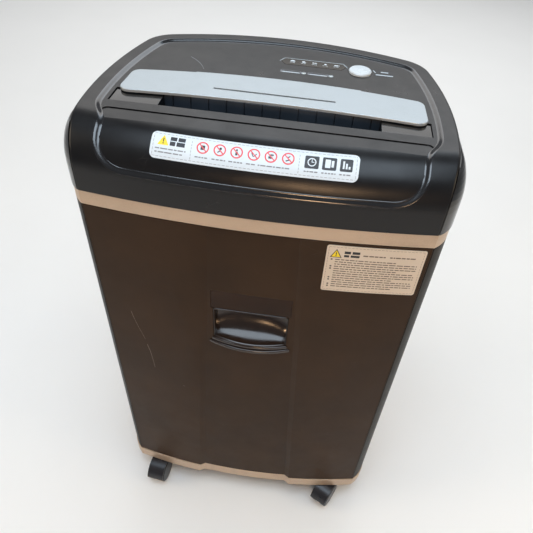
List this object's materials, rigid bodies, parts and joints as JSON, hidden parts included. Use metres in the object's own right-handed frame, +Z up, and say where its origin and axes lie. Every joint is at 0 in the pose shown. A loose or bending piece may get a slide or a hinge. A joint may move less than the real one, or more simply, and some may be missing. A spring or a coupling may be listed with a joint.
{
  "type": "paper shredder",
  "caption": "Deskside cross-cut paper shredder on casters, with a pull-out bin, a paper throat with a separate disc slot, and a geared cutter block.",
  "frame": {"origin": "on the floor, under the middle of the bounding box", "axes": "+Z up, the front with the bin's grip faces -Y, +X to the right seen from the front"},
  "size_m": [0.3804, 0.3018, 0.6468],
  "materials": {
    "head_plastic": "fine textured moulding, satin",
    "gloss_black": "polished moulding",
    "trim_silver": "warm silver paint, satin",
    "inner_plastic": "moulded",
    "cabinet_plastic": "semi-gloss moulding",
    "panel_plastic": "satin moulding",
    "bin_plastic": "moulded",
    "smoked_window": "polished, smoked",
    "label_paper": "coated label",
    "throat_plastic": "satin moulding",
    "plate_silver": "pale silver paint, satin",
    "lens_plastic": "polished, smoked",
    "led_epoxy": "clear epoxy",
    "circuit_board": "solder mask",
    "button_white": "satin moulding",
    "rocker_plastic": "moulded",
    "gland_rubber": "moulded",
    "cutter_steel": "machined and oiled",
    "comb_plastic": "moulded",
    "plate_steel": "zinc plated sheet",
    "zinc_steel": "zinc plated",
    "bearing_steel": "ground",
    "gear_steel": "cut and greased",
    "gear_nylon": "moulded",
    "motor_paint": "painted",
    "capacitor_shell": "moulded",
    "mount_rubber": "moulded",
    "switch_plastic": "moulded",
    "plunger_plastic": "moulded",
    "caster_plastic": "moulded, scuffed",
    "wheel_plastic": "moulded, scuffed"
  },
  "bodies": {
    "cabinet": {"head_top_cover": "head_plastic", "head_side_panel_right": "gloss_black", "head_side_panel_left": "gloss_black", "trim_band": "trim_silver", "head_bottom_pan": "inner_plastic", "cabinet_shell": "cabinet_plastic", "base_trim": "trim_silver", "base_tray": "inner_plastic", "front_label": "label_paper", "throat_guide_front": "throat_plastic", "throat_guide_rear": "throat_plastic", "throat_end_left": "gloss_black", "throat_end_right": "gloss_black", "entry_bridge_plate": "plate_silver", "disc_chute": "inner_plastic", "indicator_lens": "lens_plastic", "indicator_leds": "led_epoxy", "control_board": "circuit_board", "power_switch_bezel": "gloss_black", "power_inlet": "gland_rubber", "stripper_comb_front": "comb_plastic", "stripper_comb_rear": "comb_plastic", "cutter_plate_left": "plate_steel", "cutter_plate_right": "plate_steel", "tie_rods": "zinc_steel", "frame_screws": "zinc_steel", "cutter_bearings": "bearing_steel", "gear_axles": "zinc_steel", "gear_support_plate": "plate_steel", "motor_housing": "motor_paint", "run_capacitor": "capacitor_shell", "power_board": "circuit_board", "cutter_mounts": "mount_rubber", "interlock_switch": "switch_plastic", "paper_sensor_bracket": "switch_plastic"},
    "bin": {"bin_front_panel": "panel_plastic", "bin_body": "bin_plastic", "bin_window": "smoked_window", "bin_handle_cup": "gloss_black", "panel_label": "label_paper"},
    "button": {"function_button": "button_white"},
    "rocker": {"power_rocker": "rocker_plastic"},
    "plunger": {"interlock_plunger": "plunger_plastic"},
    "sensor_flag": {"paper_sensor_lever": "plunger_plastic"},
    "rear_cutter": {"cutter_roller_rear": "cutter_steel", "sync_gear_rear": "gear_steel", "final_gear": "gear_steel"},
    "front_cutter": {"cutter_roller_front": "cutter_steel", "sync_gear_front": "gear_steel"},
    "second_reduction": {"second_gear": "gear_steel"},
    "first_reduction": {"first_gear": "gear_nylon"},
    "rotor": {"motor_rotor": "gear_steel"},
    "caster_front_left": {"caster_hood_front_left": "caster_plastic"},
    "wheels_front_left": {"caster_wheels_front_left": "wheel_plastic"},
    "caster_front_right": {"caster_hood_front_right": "caster_plastic"},
    "wheels_front_right": {"caster_wheels_front_right": "wheel_plastic"},
    "caster_rear_left": {"caster_hood_rear_left": "caster_plastic"},
    "wheels_rear_left": {"caster_wheels_rear_left": "wheel_plastic"},
    "caster_rear_right": {"caster_hood_rear_right": "caster_plastic"},
    "wheels_rear_right": {"caster_wheels_rear_right": "wheel_plastic"}
  },
  "joints": [
    {"name": "bin_slide", "type": "slide", "parent": "cabinet", "child": "bin", "axis": [0, -1, 0], "range_m": [0, 0.24]},
    {"name": "function_button_press", "type": "slide", "parent": "cabinet", "child": "button", "axis": [0, 0, -1], "range_m": [0, 0.0015], "stiffness_N_per_m": 400, "springref_m": -0.001},
    {"name": "power_rocker_tilt", "type": "hinge", "parent": "cabinet", "child": "rocker", "pos_m": [0, 0.137, 0.608], "axis": [1, 0, 0], "range_deg": [0, 14]},
    {"name": "interlock_plunger_press", "type": "slide", "parent": "cabinet", "child": "plunger", "axis": [0, 1, 0], "range_m": [0, 0.0025], "stiffness_N_per_m": 300, "springref_m": -0.001},
    {"name": "paper_sensor_swing", "type": "hinge", "parent": "cabinet", "child": "sensor_flag", "pos_m": [0, -0.033, 0.605], "axis": [1, 0, 0], "range_deg": [0, 22], "stiffness_Nm_per_rad": 0.003, "springref_deg": -11.46},
    {"name": "motor_spin", "type": "hinge", "parent": "cabinet", "child": "rotor", "pos_m": [0, 0.076, 0.568], "axis": [1, 0, 0], "continuous": true},
    {"name": "first_gear_spin", "type": "hinge", "parent": "cabinet", "child": "first_reduction", "pos_m": [0, 0.04715, 0.57622], "axis": [1, 0, 0], "continuous": true},
    {"name": "second_gear_spin", "type": "hinge", "parent": "cabinet", "child": "second_reduction", "pos_m": [0, 0.0213, 0.54701], "axis": [1, 0, 0], "continuous": true},
    {"name": "rear_cutter_spin", "type": "hinge", "parent": "cabinet", "child": "rear_cutter", "pos_m": [0, -0.024, 0.555], "axis": [1, 0, 0], "continuous": true},
    {"name": "front_cutter_spin", "type": "hinge", "parent": "cabinet", "child": "front_cutter", "pos_m": [0, -0.068, 0.555], "axis": [1, 0, 0], "continuous": true},
    {"name": "swivel_front_left", "type": "hinge", "parent": "cabinet", "child": "caster_front_left", "pos_m": [-0.1413, -0.1098, 0.045], "axis": [0, 0, 1], "continuous": true},
    {"name": "roll_front_left", "type": "hinge", "parent": "caster_front_left", "child": "wheels_front_left", "pos_m": [-0.14337, -0.12667, 0.02], "axis": [0.9925, -0.1219, 0], "continuous": true},
    {"name": "swivel_front_right", "type": "hinge", "parent": "cabinet", "child": "caster_front_right", "pos_m": [0.1413, -0.1098, 0.045], "axis": [0, 0, 1], "continuous": true},
    {"name": "roll_front_right", "type": "hinge", "parent": "caster_front_right", "child": "wheels_front_right", "pos_m": [0.13332, -0.12481, 0.02], "axis": [0.8829, -0.4695, 0], "continuous": true},
    {"name": "swivel_rear_left", "type": "hinge", "parent": "cabinet", "child": "caster_rear_left", "pos_m": [-0.122, 0.10921, 0.045], "axis": [0, 0, 1], "continuous": true},
    {"name": "roll_rear_left", "type": "hinge", "parent": "caster_rear_left", "child": "wheels_rear_left", "pos_m": [-0.12781, 0.12518, 0.02], "axis": [-0.9397, -0.342, 0], "continuous": true},
    {"name": "swivel_rear_right", "type": "hinge", "parent": "cabinet", "child": "caster_rear_right", "pos_m": [0.122, 0.10921, 0.045], "axis": [0, 0, 1], "continuous": true},
    {"name": "roll_rear_right", "type": "hinge", "parent": "caster_rear_right", "child": "wheels_rear_right", "pos_m": [0.12781, 0.12518, 0.02], "axis": [-0.9397, 0.342, 0], "continuous": true}
  ],
  "couplings": [
    {"joint": "first_gear_spin", "follows": "motor_spin", "ratio": -0.25},
    {"joint": "second_gear_spin", "follows": "motor_spin", "ratio": 0.075},
    {"joint": "rear_cutter_spin", "follows": "motor_spin", "ratio": -0.026471},
    {"joint": "front_cutter_spin", "follows": "motor_spin", "ratio": 0.026471}
  ]
}
